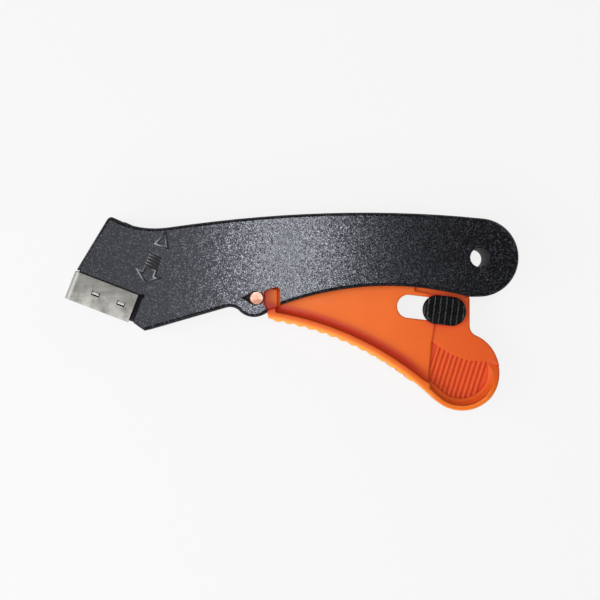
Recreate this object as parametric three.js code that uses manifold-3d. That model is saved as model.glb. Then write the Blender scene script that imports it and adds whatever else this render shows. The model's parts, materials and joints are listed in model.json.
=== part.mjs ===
// Safety knife whose squeeze lever pushes a blade out of a steel-capped nose.
// Millimetres. The knife lies on its far side: +X to the tail, +Y to the back, +Z to the near side.
// Outlines are measured from the axis of the lever pivot, and widths from the parting plane.

import * as THREE from 'three';
import { mergeVertices } from 'three/addons/utils/BufferGeometryUtils.js';
import Module from 'manifold-3d';

const wasm = await Module();
wasm.setup();

// Body shells: widths and walls
const bodyWidth = 17;
const partingGap = 0.1;
const sideWall = 2;
const rimWall = 2.4;
const edgeRound = 1.2;
const runningGap = 0.3;
const fitGap = 0.2;

// Handle outline
const tailRadius = 14.7;
const tailX = 83.4;
const tailY = 15.2;
const hangingHoleRadius = 3.6;
const hangingTubeWall = 1.5;
const backTangentLength = 39;
const backStartSlope = 8.3;
const backEndSlope = 5.9;
const gripCornerX = 9.45;
const gripCornerY = -2.4;
const gripCrownX = 44.2;
const gripCrownY = 9.9;
const gripEndSetback = 3.7;
const hookRadius = 7.6;
const hookX = -1.1;
const hookY = 0.5;
const hookStartAngle = -140;
const hookEndAngle = -35;

// Head outline, in the frame of the blade slide: V across the nose, Q up from its open end
const slideAngle = 21;
const armLength = 53.9;
const armHeight = 25.8;
const frontFootV = -12.9;
const headPeakV = -8.7;
const headPeakRise = 9.2;
const headPeakRound = 2.1;
const headHollowV = 3.45;
const headHollowRise = 7.3;
const backStartV = 13.9;
const backStartRise = 13.1;
const heelV = 19;
const heelQ = -0.7;
const heelEndSetback = 10.3;
const heelEndDrop = 7.9;
const throatSetback = 7.7;
const throatDrop = 5.9;

// Nose core and steel guard
const guardLength = 25.7;
const guardShift = -0.85;
const guardHeight = 10.9;
const guardTuck = 2.4;
const guardSheet = 0.8;
const guardBend = 2;
const guardInset = 1.2;
const guardEndGap = 2.2;
const guardTopGap = 0.7;
const guardTuckMargin = 1.9;
const reliefRadius = 0.8;
const coreRecess = 0.5;
const tabWidth = 3.2;
const tabSlit = 0.55;
const tabSideSlit = 0.3;
const tabHeight = 1.85;
const tabLift = 0.3;
const tabSpacing = 10.1;
const tabMiddleV = 2;
const tabQ = 4.7;

// Blade and its carrier
const bladeWidth = 18;
const bladeHeight = 18;
const bladeThickness = 0.6;
const bladeSetback = 1.2;
const bladeSlant = 15;
const bladeGrind = 2.2;
const bladeHoleRadius = 1.8;
const bladeHoleSpacing = 9;
const bladeHoleQ = 14.6;
const tongueThickness = 3.4;
const tongueLift = 6.6;
const tongueMargin = 0.4;
const yokeLength = 10;
const yokeTop = 2.8;
const yokeCheek = 2.2;
const clampScrewRadius = 1.2;
const clampScrewHeadRadius = 2.1;
const clampScrewHeadDepth = 0.7;
const clampScrewQ = 16.6;

// Squeeze lever
const leverTravel = 7.5;
const leverWeb = 6;
const leverSlackWidth = 0.4;
const armHalfHeight = 3;
const hubRadius = 4.6;
const neckRightX = 8.7;
const neckTopY = 4.5;
const neckRound = 1.8;
const neckWeb = 8;
const neckFootLeftY = -5;
const neckFootRightY = -3.1;
const leverArcRadius = 115.5;
const leverToeX = 4.3;
const leverToeY = -7.66;
const leverToeAngle = 81.54;
const leverGripLength = 70.83;
const flangeDepth = 4.3;
const flangeCove = 1.7;
const bumpCount = 14;
const bumpPitch = 4.2;
const bumpHeight = 0.7;
const bumpStartX = 5.7;
const bumpSteps = 6;
const leverTailRadius = 14.7;
const leverEndX = 80.6;
const leverEndTopY = 0.6;
const leverEndRound = 1;
const leverNotchRound = 4;
const leverOverlap = 4;

// Thumb recess of the lever
const thumbFloor = 3.4;
const thumbCove = 2.6;
const thumbTopSetback = 10.9;
const thumbTopRise = 11.16;
const thumbFootSetback = 12.2;
const thumbSagSetback = -0.05;
const thumbSagRise = 2.56;
const thumbEndAngle = 20;
const thumbRibShift = -0.3;
const thumbRibCount = 11;
const thumbRibPitch = 1.84;
const thumbRibRadius = 0.75;
const thumbRibSides = 12;
const thumbRibLean = 17.7;
const rimSlope = 17;

// Sliding lock in the lever
const slotX = 57.4;
const slotY = -3.1;
const slotTilt = 6.8;
const slotLength = 15.7;
const slotRadius = 4.4;
const slideZoneWeb = 5;
const slideZoneLeftX = 59.8;
const slideZoneLeftY = 2.7;
const slideZoneStepX = 69.1;
const slideZoneStepY = 0.9;
const lockShankHalf = 2;
const lockCapHalfLength = 8.3;
const lockBackHalfLength = 6.6;
const lockCapHalfHeight = 5.5;
const lockCapThickness = 2.2;
const lockCapRound = 0.9;
const lockRibPitch = 2.25;
const lockRibCount = 7;
const lockRibGroove = 0.9;
const lockRibDepth = 0.8;
const lockStemRadius = 1.6;
const lockStemLength = 1.5;

// Pins
const pivotPinRadius = 2.6;
const pivotPinRecess = 0.2;
const pinChamfer = 0.3;
const drivePinRadius = 1.5;

// Bayonet slot for the pivot pin
const slotLegLeftX = 2.6;
const slotLegFootX = 3.9;
const slotLegRightX = 8.8;
const slotLegTopY = 4.2;
const slotLegRound = 1.8;
const seatTailX = -5.8;
const seatTailDepth = 1.6;

// Return spring
const springFootX = 44;
const springWire = 0.9;
const springMeanRadius = 3.1;
const springTurns = 8;
const springEndPitch = 1.5;
const springPostHeight = 2.4;
const springPostGap = 0.5;
const springPadLength = 8;
const springPadHeight = 2;
const springPadLift = 1.2;
const springLength = 18.2;
const springStepsPerTurn = 10;
const springSides = 6;

// Shell screws
const bossRadius = 2.6;
const screwRadius = 1.1;
const screwTipRadius = 0.7;
const screwHeadRadius = 2;
const screwHeadDepth = 1.4;
const screwHeadRecess = 0.4;
const screwReach = 4.6;
const screwDriveWidth = 0.6;
const screwDriveDepth = 0.7;
const noseScrewV = -2;
const noseScrewGap = 0.9;
const armScrewReach = 24;
const middleScrewX = 27.5;
const middleScrewY = 22.5;
const tailScrewX = 66;
const tailScrewY = 24.5;

// Facets
const arcSteps = 14;
const roundSides = 24;

// Widths that follow from the sizes above
const outerHalf = bodyWidth / 2;
const innerHalf = outerHalf - sideWall;
const leverHalf = innerHalf - leverSlackWidth / 2;
const webHalf = leverWeb / 2;
const guardOuterHalf = outerHalf - guardInset;
const guardInnerHalf = guardOuterHalf - guardSheet;
const coreHalf = guardInnerHalf - runningGap;
const tongueHalf = tongueThickness / 2;
const yokeOuterHalf = innerHalf - 3 * runningGap;
const yokeInnerHalf = yokeOuterHalf - yokeCheek;
const armHalf = yokeInnerHalf - runningGap;
const guardFrontV = guardShift - guardLength / 2;
const guardBackV = guardShift + guardLength / 2;
const coreFrontV = guardFrontV + guardBend;
const cutV = guardBackV + guardEndGap;
const cutQ = guardHeight + guardTopGap;
const endGapFloor = tongueHalf + runningGap + rimWall / 2;
const bladeSeat = (bladeThickness + partingGap) / 2;
const bladeTopQ = bladeSetback + bladeHeight;
const yokeFootQ = bladeTopQ + runningGap;
const coreWellHalf = yokeLength / 2 + 2 * runningGap;
const pegPlaces = [-bladeHoleSpacing / 2, bladeHoleSpacing / 2];
const beyond = 60;
const degree = Math.PI / 180;
const quarter = Math.PI / 2;
const stroke = armLength * Math.sin(leverTravel * degree);
const coreTop = armHeight - armHalfHeight - stroke - runningGap;
const coreWellQ = yokeFootQ - stroke - runningGap;

// A point of the slide frame, in the frame of the pivot
function slidePoint(v, q) {
  const point = new THREE.Vector2(v - armLength, q - armHeight);
  return point.rotateAround(new THREE.Vector2(), -slideAngle * degree);
}

// Turn a geometry drawn in the slide frame into the frame of the pivot
function placeOnSlide(geometry) {
  const origin = slidePoint(0, 0);
  return geometry.rotateZ(-slideAngle * degree).translate(origin.x, origin.y, 0);
}

// Make a closed geometry a solid that can be joined and cut, mirrored to the far side if asked
function solid(geometry, side = 1) {
  const bare = geometry.clone();
  bare.deleteAttribute('normal');
  bare.deleteAttribute('uv');
  const merged = mergeVertices(bare, 1e-4).scale(1, 1, side);
  const corners = merged.index.array;
  const faces = [];
  for (let i = 0; i < corners.length; i += 3) {
    const [a, b, c] = corners.slice(i, i + 3);
    const flat = a === b || b === c || c === a;
    if (!flat) faces.push(...(side > 0 ? [a, b, c] : [a, c, b]));
  }
  const vertProperties = Float32Array.from(merged.attributes.position.array);
  const triVerts = Uint32Array.from(faces);
  return new wasm.Manifold(new wasm.Mesh({ numProp: 3, vertProperties, triVerts }));
}

// Give a finished solid back as a geometry
function geometryOf(shape) {
  const { vertProperties, triVerts } = shape.getMesh();
  const geometry = new THREE.BufferGeometry();
  geometry.setAttribute('position', new THREE.BufferAttribute(vertProperties, 3));
  geometry.setIndex(new THREE.BufferAttribute(triVerts, 1));
  geometry.computeVertexNormals();
  return geometry;
}

// An outline as straight steps, without points that fall on each other
function stepped(shape, steps) {
  const apart = (point, i, all) => point.distanceTo(all[(i + 1) % all.length]) > 1e-3;
  const plain = new THREE.Shape(shape.getPoints(steps).filter(apart));
  plain.holes = shape.holes.map((hole) => new THREE.Path(hole.getPoints(steps).filter(apart)));
  return plain;
}

// Basic forms
function prism(shape, bottom, top, steps = arcSteps) {
  const options = { depth: top - bottom, bevelEnabled: false };
  return new THREE.ExtrudeGeometry(stepped(shape, steps), options).translate(0, 0, bottom);
}

function polygon(points) {
  return new THREE.Shape(points.map((point) => new THREE.Vector2(...point)));
}

function slidePolygon(points) {
  return new THREE.Shape(points.map(([v, q]) => slidePoint(v, q)));
}

function rectangle(left, bottom, right, top) {
  return polygon([[left, bottom], [right, bottom], [right, top], [left, top]]);
}

function disc(x, y, radius, bottom, top, sides = roundSides) {
  const cylinder = new THREE.CylinderGeometry(radius, radius, top - bottom, sides);
  return cylinder.rotateX(quarter).translate(x, y, (bottom + top) / 2);
}

function obround(halfLength, radius) {
  const shape = new THREE.Shape();
  shape.absarc(halfLength, 0, radius, -quarter, quarter);
  shape.absarc(-halfLength, 0, radius, quarter, 3 * quarter);
  return shape;
}

// A cutter that widens upwards from its floor with a rounded foot, so that it leaves coved walls
function covedCutter(shape, floor, top, cove, steps = arcSteps) {
  const geometry = new THREE.ExtrudeGeometry(stepped(shape, steps), {
    depth: beyond,
    bevelThickness: top - floor,
    bevelSize: cove,
    bevelSegments: 3,
  });
  return geometry.translate(0, 0, top);
}

// Draw an outline inwards by the same distance all round
function insetShape(shape, distance, steps = arcSteps) {
  const points = stepped(shape, steps).getPoints();
  if (THREE.ShapeUtils.isClockWise(points)) points.reverse();
  const inner = points.map((point, i) => {
    const before = points[(i + points.length - 1) % points.length];
    const after = points[(i + 1) % points.length];
    const arrive = point.clone().sub(before).normalize();
    const leave = after.clone().sub(point).normalize();
    const normal = new THREE.Vector2(-arrive.y - leave.y, arrive.x + leave.x).normalize();
    const across = -arrive.y * normal.x + arrive.x * normal.y;
    return point.clone().addScaledVector(normal, distance / across);
  });
  return new THREE.Shape(inner);
}

// Points that several outlines share
const tailBottom = tailY - tailRadius;
const gripEndX = tailX - gripEndSetback;
const backStart = slidePoint(backStartV, armHeight + backStartRise);
const heelEnd = slidePoint(armLength - heelEndSetback, armHeight - heelEndDrop);
const throat = slidePoint(armLength - throatSetback, armHeight - throatDrop);
const hookStart = new THREE.Vector2(
  hookX + hookRadius * Math.cos(hookStartAngle * degree),
  hookY + hookRadius * Math.sin(hookStartAngle * degree),
);

// Side outline of the body; the plain one leaves out the hook under the pivot and the rounded peak
function bodyShape(plain = false) {
  const shape = new THREE.Shape();
  const line = (point) => shape.lineTo(point.x, point.y);
  const start = slidePoint(coreFrontV, coreRecess);
  shape.moveTo(start.x, start.y);
  line(slidePoint(cutV, coreRecess));
  line(slidePoint(heelV, heelQ));
  line(heelEnd);
  if (!plain) {
    shape.quadraticCurveTo(throat.x, throat.y, hookStart.x, hookStart.y);
    shape.absarc(hookX, hookY, hookRadius, hookStartAngle * degree, hookEndAngle * degree);
  }
  shape.lineTo(gripCornerX, gripCornerY);
  shape.quadraticCurveTo(gripCrownX, gripCrownY, gripEndX, tailBottom);
  const tailTurn = (90 - backEndSlope) * degree;
  shape.absarc(tailX, tailY, tailRadius, -quarter, tailTurn);
  const backEnd = shape.currentPoint.clone();
  const rise = Math.tan(backStartSlope * degree) * backTangentLength;
  const fall = Math.tan(backEndSlope * degree) * backTangentLength;
  shape.bezierCurveTo(
    backEnd.x - backTangentLength, backEnd.y + fall,
    backStart.x + backTangentLength, backStart.y + rise,
    backStart.x, backStart.y,
  );
  const peak = slidePoint(headPeakV, armHeight + headPeakRise);
  const hollow = slidePoint(headHollowV, armHeight + headHollowRise);
  const foot = slidePoint(frontFootV, cutQ);
  if (plain) {
    shape.quadraticCurveTo(hollow.x, hollow.y, peak.x, peak.y);
  } else {
    const shoulder = peak.clone().lerp(hollow, headPeakRound / peak.distanceTo(hollow));
    const brow = peak.clone().lerp(foot, headPeakRound / peak.distanceTo(foot));
    shape.quadraticCurveTo(hollow.x, hollow.y, shoulder.x, shoulder.y);
    shape.quadraticCurveTo(peak.x, peak.y, brow.x, brow.y);
  }
  line(foot);
  line(slidePoint(coreFrontV, cutQ));
  shape.closePath();
  return shape;
}

// The screw places, from nose to tail
const armScrewOffset = armHalfHeight + runningGap + bossRadius;
const screwPlaces = [
  ['nose_screw', slidePoint(noseScrewV, armHeight + yokeTop + noseScrewGap + bossRadius)],
  ['arm_screw', slidePoint(armLength - armScrewReach, armHeight + armScrewOffset)],
  ['middle_screw', new THREE.Vector2(middleScrewX, middleScrewY)],
  ['tail_screw', new THREE.Vector2(tailScrewX, tailScrewY)],
];

// Middle of the gripped edge's arc, the round tail that it runs into, and the hidden top edge
const leverToeTurn = leverToeAngle * degree;
const leverArcX = leverToeX - leverArcRadius * Math.cos(leverToeTurn);
const leverArcY = leverToeY - leverArcRadius * Math.sin(leverToeTurn);
const leverTailTurn = leverToeTurn - leverGripLength / leverArcRadius;
const leverTail = new THREE.Vector2(
  leverArcX + (leverArcRadius + leverTailRadius) * Math.cos(leverTailTurn),
  leverArcY + (leverArcRadius + leverTailRadius) * Math.sin(leverTailTurn),
);
const leverTop = new THREE.QuadraticBezierCurve(
  new THREE.Vector2(gripEndX - leverOverlap, tailBottom + leverOverlap),
  new THREE.Vector2(gripCrownX, gripCrownY + leverOverlap),
  new THREE.Vector2(neckRightX, neckTopY),
);

// The spring stands along the path that its foot on the lever takes at half travel
const springFootAlong = (leverTop.v0.x - springFootX) / (leverTop.v0.x - leverTop.v2.x);
const springFootY = leverTop.getPoint(springFootAlong).y + springPadLift;
const springTurn = Math.atan2(springFootY, springFootX) + (leverTravel / 2) * degree;
const springInnerRadius = springMeanRadius - springWire / 2;
const springPostRadius = springInnerRadius - springPostGap;
const springSeat = springLength + 2 * fitGap;

// Turn a geometry drawn upright on the spring's foot into its place
function placeOnSpring(geometry) {
  return geometry.rotateZ(springTurn).translate(springFootX, springFootY, 0);
}

function springPost(foot, height) {
  const post = new THREE.CylinderGeometry(springPostRadius, springPostRadius, height, 12);
  return placeOnSpring(post.translate(0, foot + height / 2, 0));
}

// One moulded half of the body, drawn on the near side and mirrored for the far one
function bodyShell(side) {
  const outline = new THREE.ExtrudeGeometry(stepped(bodyShape(), arcSteps), {
    depth: bodyWidth - 2 * edgeRound,
    bevelThickness: edgeRound,
    bevelSize: edgeRound,
    bevelOffset: -edgeRound,
    bevelSegments: 3,
  }).translate(0, 0, edgeRound - outerHalf);
  const parting = partingGap / 2;
  const otherHalf = new THREE.BoxGeometry(5 * beyond, 5 * beyond, bodyWidth);
  otherHalf.translate(0, 0, parting - outerHalf);
  const cut = (geometry) => solid(geometry, side);

  // Hollow with the nose core left standing, open below for the lever
  const coreShape = slidePolygon([
    [-beyond, -beyond], [cutV + rimWall, -beyond], [cutV + rimWall, coreTop],
    [coreWellHalf, coreTop], [coreWellHalf, coreWellQ],
    [-coreWellHalf, coreWellQ], [-coreWellHalf, coreTop], [-beyond, coreTop],
  ]);
  const hollow = cut(prism(insetShape(bodyShape(true), rimWall), 0, innerHalf))
    .subtract(cut(prism(coreShape, -1, bodyWidth)));
  const mouthRight = leverEndX + rimWall / 2 + runningGap;
  const mouth = polygon([
    [slotLegFootX, -beyond], [mouthRight, -beyond], [mouthRight, tailBottom + 1.5 * rimWall],
    [gripCrownX, gripCrownY + rimWall / 2], [slotLegRightX, slotLegTopY], [slotLegLeftX, gripCornerY],
  ]);
  let shell = solid(outline).subtract(cut(otherHalf))
    .subtract(hollow)
    .subtract(cut(prism(mouth, 0, innerHalf)))
    .subtract(cut(disc(0, 0, hubRadius + 2 * fitGap, 0, innerHalf)));

  // Room for the swing of the lever's arm past the hook
  const armRoom = armHalfHeight + runningGap;
  const armPath = rectangle(armLength / 2, armHeight - armRoom, armLength, armHeight + armRoom);
  for (const turn of [0, leverTravel / 2, leverTravel]) {
    const room = placeOnSlide(prism(armPath, 0, armHalf + runningGap)).rotateZ(turn * degree);
    shell = shell.subtract(cut(room));
  }

  // Screw bosses, tube of the hanging hole and seat of the spring
  const anchored = innerHalf + sideWall / 4;
  for (const [, place] of screwPlaces) {
    shell = shell.add(cut(disc(place.x, place.y, bossRadius, parting, anchored)));
  }
  const tubeRadius = hangingHoleRadius + hangingTubeWall;
  shell = shell.add(cut(disc(tailX, tailY, tubeRadius, parting, anchored)));
  const seatTop = springSeat + beyond / 4;
  const seatBlock = rectangle(-springPadLength / 2, springSeat, springPadLength / 2, seatTop);
  const seat = placeOnSpring(prism(seatBlock, parting, anchored));
  const seatPost = springPost(springSeat - springPostHeight, springPostHeight + fitGap);
  const spareSeat = solid(seat, side).add(solid(seatPost).subtract(cut(otherHalf)));
  shell = shell.add(spareSeat.intersect(solid(outline)));

  // Room for the steel guard, its tuck and the blade
  const guardRoom = slidePolygon([
    [-beyond, -beyond], [cutV, -beyond], [cutV, cutQ], [-beyond, cutQ],
  ]);
  const endGap = slidePolygon([
    [guardBackV - guardEndGap / 2, -beyond], [cutV, -beyond],
    [cutV, cutQ], [guardBackV - guardEndGap / 2, cutQ],
  ]);
  const relief = slidePoint(cutV - reliefRadius / 2, cutQ - reliefRadius / 2);
  const tuckRoom = slidePolygon([
    [guardFrontV + guardTuckMargin - runningGap, 0], [guardBackV + runningGap, 0],
    [guardBackV + runningGap, guardHeight + guardTuck + runningGap],
    [guardFrontV + guardTuckMargin - runningGap, guardHeight + guardTuck + runningGap],
  ]);
  const slitHalf = bladeWidth / 2 + runningGap;
  const slit = slidePolygon([
    [-slitHalf, -beyond], [slitHalf, -beyond], [slitHalf, yokeFootQ], [-slitHalf, yokeFootQ],
  ]);
  shell = shell
    .subtract(cut(prism(guardRoom, coreHalf, bodyWidth)))
    .subtract(cut(prism(endGap, endGapFloor, bodyWidth)))
    .subtract(cut(disc(relief.x, relief.y, reliefRadius, coreHalf, bodyWidth, 12)))
    .subtract(cut(prism(tuckRoom, coreHalf, guardOuterHalf + runningGap)))
    .subtract(cut(prism(slit, 0, tongueHalf + runningGap)));

  // Bayonet slot and seat of the pivot pin, and the hanging hole
  const leg = new THREE.Shape();
  leg.moveTo(slotLegFootX, -beyond);
  leg.lineTo(slotLegFootX, gripCornerY - rimWall);
  leg.lineTo(slotLegLeftX, gripCornerY);
  leg.lineTo(slotLegLeftX, pivotPinRadius);
  leg.lineTo(slotLegRightX - slotLegRound, slotLegTopY);
  leg.quadraticCurveTo(slotLegRightX, slotLegTopY, slotLegRightX, slotLegTopY - slotLegRound);
  leg.lineTo(slotLegRightX, -beyond);
  const seatTail = polygon([
    [seatTailX, 0], [-pivotPinRadius / 2, -pivotPinRadius], [-pivotPinRadius / 2, pivotPinRadius],
  ]);
  return shell
    .subtract(cut(prism(leg, 0, bodyWidth)))
    .subtract(cut(disc(0, 0, pivotPinRadius + fitGap, 0, bodyWidth)))
    .subtract(cut(prism(seatTail, outerHalf - seatTailDepth, bodyWidth)))
    .subtract(cut(disc(tailX, tailY, hangingHoleRadius, 0, bodyWidth)));
}

// The near shell takes the screw threads in blind holes
function nearShell() {
  let shell = bodyShell(1);
  for (const [, place] of screwPlaces) {
    const depth = screwReach + runningGap;
    shell = shell.subtract(solid(disc(place.x, place.y, screwRadius + fitGap, 0, depth, 12)));
  }
  return shell;
}

// The far shell lets the screws through and sinks their heads
function farShell() {
  let shell = bodyShell(-1);
  for (const [, place] of screwPlaces) {
    const headRoom = screwHeadDepth + screwHeadRecess + fitGap;
    const bore = disc(place.x, place.y, screwRadius + fitGap, 0, bodyWidth, 12);
    const sink = disc(place.x, place.y, screwHeadRadius + fitGap, outerHalf - headRoom, bodyWidth);
    shell = shell.subtract(solid(bore, -1)).subtract(solid(sink, -1));
  }
  return shell;
}

// Pan-head screw with a crossed drive, seen from the far side
function shellScrew() {
  const face = outerHalf - screwHeadRecess;
  const seat = face - screwHeadDepth;
  const tip = -screwReach;
  const profile = polygon([
    [0, tip], [screwTipRadius, tip], [screwRadius, tip + screwRadius], [screwRadius, seat],
    [screwHeadRadius, seat], [screwHeadRadius, face - pinChamfer],
    [screwHeadRadius - pinChamfer, face], [0, face],
  ]);
  const turned = new THREE.LatheGeometry(profile.getPoints(), roundSides / 2).rotateX(quarter);
  let screw = solid(turned, -1);
  for (const turn of [0, quarter]) {
    const slot = rectangle(-screwRadius, -screwDriveWidth / 2, screwRadius, screwDriveWidth / 2);
    const drive = prism(slot, face - screwDriveDepth, outerHalf).rotateZ(turn);
    screw = screw.subtract(solid(drive, -1));
  }
  return screw;
}

// Round pin with chamfered ends
function pin(radius, half) {
  const profile = polygon([
    [0, -half], [radius - pinChamfer, -half], [radius, pinChamfer - half],
    [radius, half - pinChamfer], [radius - pinChamfer, half], [0, half],
  ]);
  return solid(new THREE.LatheGeometry(profile.getPoints(), roundSides).rotateX(quarter));
}

// Sheet-steel guard folded round the front of the nose, drawn in the slide frame
function noseGuard() {
  const fold = new THREE.Shape();
  const innerBend = guardBend - guardSheet;
  const bendV = guardFrontV + guardBend;
  const bendZ = guardOuterHalf - guardBend;
  fold.moveTo(guardBackV, guardOuterHalf);
  fold.lineTo(bendV, guardOuterHalf);
  fold.absarc(bendV, bendZ, guardBend, quarter, 2 * quarter);
  fold.absarc(bendV, -bendZ, guardBend, 2 * quarter, 3 * quarter);
  fold.lineTo(guardBackV, -guardOuterHalf);
  fold.lineTo(guardBackV, -guardInnerHalf);
  fold.lineTo(bendV, -guardInnerHalf);
  fold.absarc(bendV, -bendZ, innerBend, 3 * quarter, 2 * quarter, true);
  fold.absarc(bendV, bendZ, innerBend, 2 * quarter, quarter, true);
  fold.lineTo(guardBackV, guardInnerHalf);
  const folded = prism(fold, 0, guardHeight, 4).rotateX(quarter).translate(0, guardHeight, 0);
  let guard = solid(folded);
  const tuckFront = guardFrontV + guardTuckMargin;
  const tuck = rectangle(tuckFront, guardHeight - guardTuck, guardBackV, guardHeight + guardTuck);

  // Lanced tabs: each lip leans out over its own window
  const lipRoot = tabHeight + tabSlit;
  const lip = polygon([
    [tabSlit, tabLift], [tabHeight, 0], [lipRoot, 0],
    [lipRoot, guardSheet], [tabHeight, guardSheet], [tabSlit, guardSheet + tabLift],
  ]);
  for (const side of [1, -1]) {
    guard = guard.add(solid(prism(tuck, guardInnerHalf, guardOuterHalf), side));
    for (const place of [-tabSpacing / 2, tabSpacing / 2]) {
      const left = tabMiddleV + place - tabWidth / 2;
      const window = rectangle(left, tabQ, left + tabWidth, tabQ + tabHeight);
      const bent = prism(lip, tabSideSlit, tabWidth - tabSideSlit).rotateZ(quarter).rotateY(quarter);
      const tab = bent.translate(left, tabQ, guardInnerHalf);
      guard = guard.subtract(solid(prism(window, 0, bodyWidth), side)).add(solid(tab, side));
    }
  }
  return guard;
}

// Blade with a slanted edge ground on both faces, drawn in the slide frame
function cuttingBlade() {
  const half = bladeThickness / 2;
  const rise = bladeWidth * Math.tan(bladeSlant * degree);
  const outline = polygon([
    [-bladeWidth / 2, bladeSetback], [bladeWidth / 2, bladeSetback + rise],
    [bladeWidth / 2, bladeTopQ], [-bladeWidth / 2, bladeTopQ],
  ]);
  const holes = pegPlaces.map((v) => [v, bladeHoleQ, bladeHoleRadius]);
  holes.push([0, clampScrewQ, clampScrewRadius + runningGap]);
  for (const [v, q, radius] of holes) {
    const hole = new THREE.Path();
    hole.absarc(v, q, radius, 0, 2 * Math.PI);
    outline.holes.push(hole);
  }
  const section = polygon([
    [0, 0], [bladeGrind, half], [beyond, half], [beyond, -half], [bladeGrind, -half],
  ]);
  const ground = prism(section, -beyond, beyond).rotateX(quarter).rotateZ(quarter);
  ground.rotateZ(bladeSlant * degree).translate(-bladeWidth / 2, bladeSetback, 0);
  return solid(ground).intersect(solid(prism(outline, -half, half, 6)));
}

// Outline of the flat tongue under the blade and of the clamp over it, drawn in the slide frame
function tongueShape(top) {
  const side = bladeWidth / 2 - tongueMargin;
  const rise = 2 * side * Math.tan(bladeSlant * degree);
  const foot = bladeSetback + tongueLift;
  return polygon([[-side, foot], [side, foot + rise], [side, top], [-side, top]]);
}

// Carrier: tongue with two pegs, a bridge, and the yoke round the end of the lever's arm
function bladeCarrier() {
  const yokeSide = yokeLength / 2;
  const bridgeTop = armHeight - armHalfHeight - 2 * runningGap;
  const bridge = rectangle(-yokeSide, yokeFootQ, yokeSide, bridgeTop);
  const stem = rectangle(-yokeSide, bladeHoleQ, yokeSide, bridgeTop);
  let carrier = solid(prism(tongueShape(bladeTopQ), -tongueHalf, -bladeSeat))
    .add(solid(prism(stem, -tongueHalf, -bladeSeat)))
    .add(solid(prism(bridge, -yokeOuterHalf, yokeOuterHalf)));
  for (const v of pegPlaces) {
    const pegRadius = bladeHoleRadius - runningGap;
    carrier = carrier.add(solid(disc(v, bladeHoleQ, pegRadius, -tongueHalf, tongueHalf - fitGap, 16)));
  }
  const cheek = rectangle(-yokeSide, yokeFootQ, yokeSide, armHeight + yokeTop);
  for (const side of [1, -1]) {
    carrier = carrier.add(solid(prism(cheek, yokeInnerHalf, yokeOuterHalf), side));
  }
  const drift = armLength * (1 - Math.cos(leverTravel * degree));
  const slot = prism(obround(drift / 2, drivePinRadius + runningGap), -bodyWidth, bodyWidth, 6);
  const thread = disc(0, clampScrewQ, clampScrewRadius + fitGap, -bodyWidth, bodyWidth, 12);
  return carrier.subtract(solid(slot.translate(drift / 2, armHeight, 0))).subtract(solid(thread));
}

// Clamp plate over the blade, with holes for the pegs and a sink for its screw
function bladeClamp() {
  const sinkFloor = tongueHalf - clampScrewHeadDepth - fitGap;
  let clamp = solid(prism(tongueShape(bladeTopQ), bladeSeat, tongueHalf));
  for (const v of pegPlaces) {
    clamp = clamp.subtract(solid(disc(v, bladeHoleQ, bladeHoleRadius, 0, bodyWidth, 16)));
  }
  const bore = disc(0, clampScrewQ, clampScrewRadius + fitGap, 0, bodyWidth, 12);
  const sink = disc(0, clampScrewQ, clampScrewHeadRadius + fitGap, sinkFloor, bodyWidth);
  return clamp.subtract(solid(bore)).subtract(solid(sink));
}

// Flat-headed screw that holds the clamp on the carrier
function clampScrew() {
  const seat = tongueHalf - clampScrewHeadDepth;
  const shank = disc(0, clampScrewQ, clampScrewRadius, fitGap - tongueHalf, tongueHalf, 12);
  const head = disc(0, clampScrewQ, clampScrewHeadRadius, seat, tongueHalf);
  const driveHalf = screwDriveWidth / 2;
  const slot = rectangle(-bladeWidth, clampScrewQ - driveHalf, bladeWidth, clampScrewQ + driveHalf);
  const drive = prism(slot, tongueHalf - clampScrewHeadDepth / 2, bodyWidth);
  return solid(shank).add(solid(head)).subtract(solid(drive));
}

// A point beside the gripped edge of the lever, so far inside it
function besideGrip(angle, depth) {
  const radius = leverArcRadius + depth;
  return [leverArcX + radius * Math.cos(angle), leverArcY + radius * Math.sin(angle)];
}

// Side outline of the lever: gripped edge, round tail, notch, upright end, hidden top and neck
function leverShape() {
  const shape = new THREE.Shape();
  const bumpStart = Math.acos((bumpStartX - leverArcX) / leverArcRadius);
  const bumpAngle = bumpPitch / leverArcRadius;
  shape.moveTo(leverToeX, leverToeY);
  for (let i = 0; i <= bumpCount * bumpSteps; i += 1) {
    const height = bumpHeight * Math.abs(Math.sin((Math.PI * i) / bumpSteps));
    shape.lineTo(...besideGrip(bumpStart - (bumpAngle * i) / bumpSteps, -height));
  }
  const gripEnd = bumpStart - bumpAngle * bumpCount;
  shape.absarc(leverArcX, leverArcY, leverArcRadius, gripEnd, leverTailTurn, true);
  const notchX = leverEndX + leverNotchRound;
  const notchReach = leverTailRadius + leverNotchRound;
  const notchAngle = Math.acos((notchX - leverTail.x) / notchReach);
  const notchY = leverTail.y + notchReach * Math.sin(notchAngle);
  shape.absarc(leverTail.x, leverTail.y, leverTailRadius, leverTailTurn - Math.PI, notchAngle);
  shape.absarc(notchX, notchY, leverNotchRound, notchAngle - Math.PI, -Math.PI, true);
  shape.lineTo(leverEndX, leverEndTopY - leverEndRound);
  shape.quadraticCurveTo(leverEndX, leverEndTopY, leverEndX - leverEndRound, leverEndTopY);
  shape.lineTo(leverTop.v0.x, leverTop.v0.y);
  shape.quadraticCurveTo(leverTop.v1.x, leverTop.v1.y, leverTop.v2.x, leverTop.v2.y);
  shape.lineTo(0, neckTopY);
  shape.lineTo(slotLegLeftX + 2 * runningGap, gripCornerY);
  return shape;
}

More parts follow.
